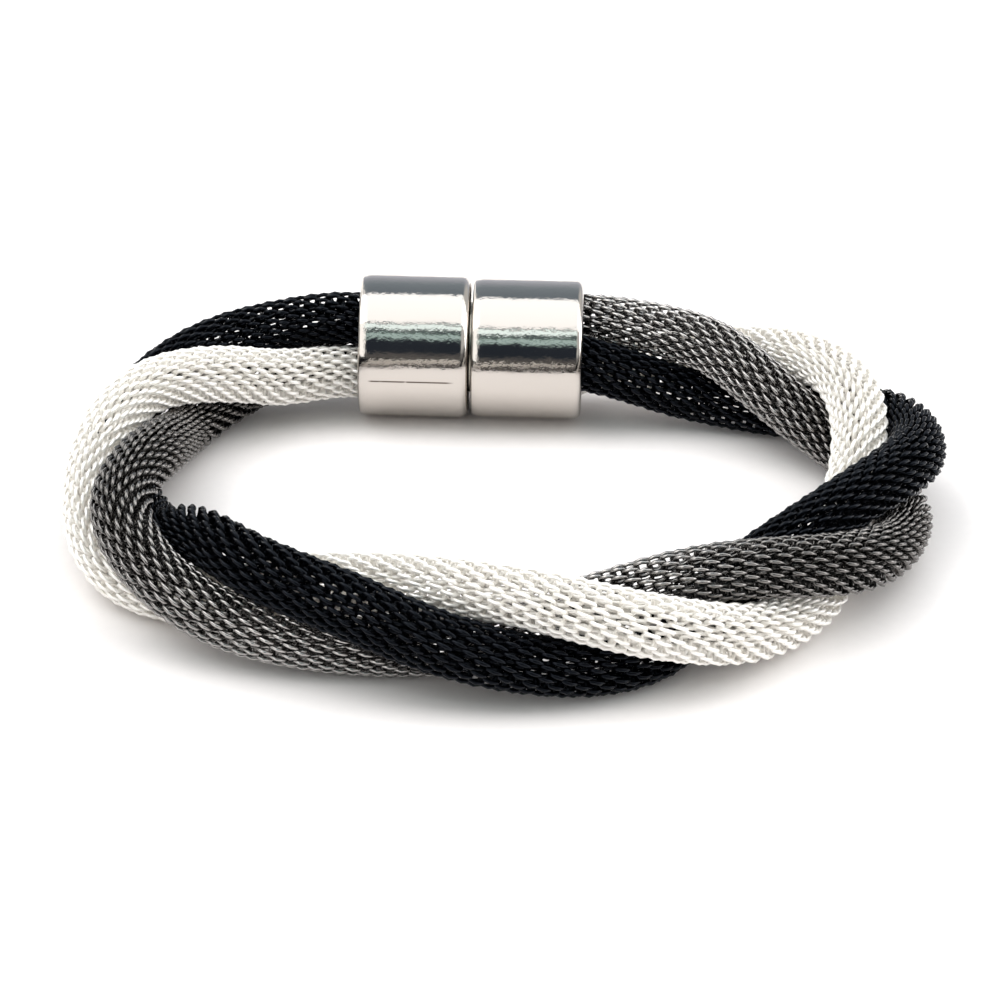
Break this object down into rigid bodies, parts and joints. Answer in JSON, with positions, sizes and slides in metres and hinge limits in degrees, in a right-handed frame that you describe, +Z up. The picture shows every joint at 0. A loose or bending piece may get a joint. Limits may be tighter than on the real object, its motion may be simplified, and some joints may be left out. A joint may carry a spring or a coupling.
{
  "type": "mesh bracelet",
  "caption": "Bracelet of hollow wire mesh tubes in silver, black and grey, twisted as one rope and closed by a cylindrical magnetic clasp.",
  "frame": {"origin": "on the surface the bracelet lies on, under the middle of its outline", "axes": "+Z up, +X along the closed clasp and the loop's width, +Y from the front of the loop towards the clasp"},
  "size_m": [0.0828, 0.0668, 0.0142],
  "materials": {
    "clasp_metal": "polished silver plate with fine streaks and one dark scratch",
    "magnet_metal": "nickel plated magnet, dull",
    "silver_wire": "bright silver plated wire",
    "black_wire": "black coated wire, satin",
    "gunmetal_wire": "gunmetal plated wire, satin"
  },
  "bodies": {
    "root": {"clasp_left": "clasp_metal", "clasp_right": "clasp_metal", "magnet_left": "magnet_metal", "magnet_right": "magnet_metal", "silver_tube": "silver_wire", "black_tube": "black_wire", "grey_tube": "gunmetal_wire"}
  },
  "joints": []
}
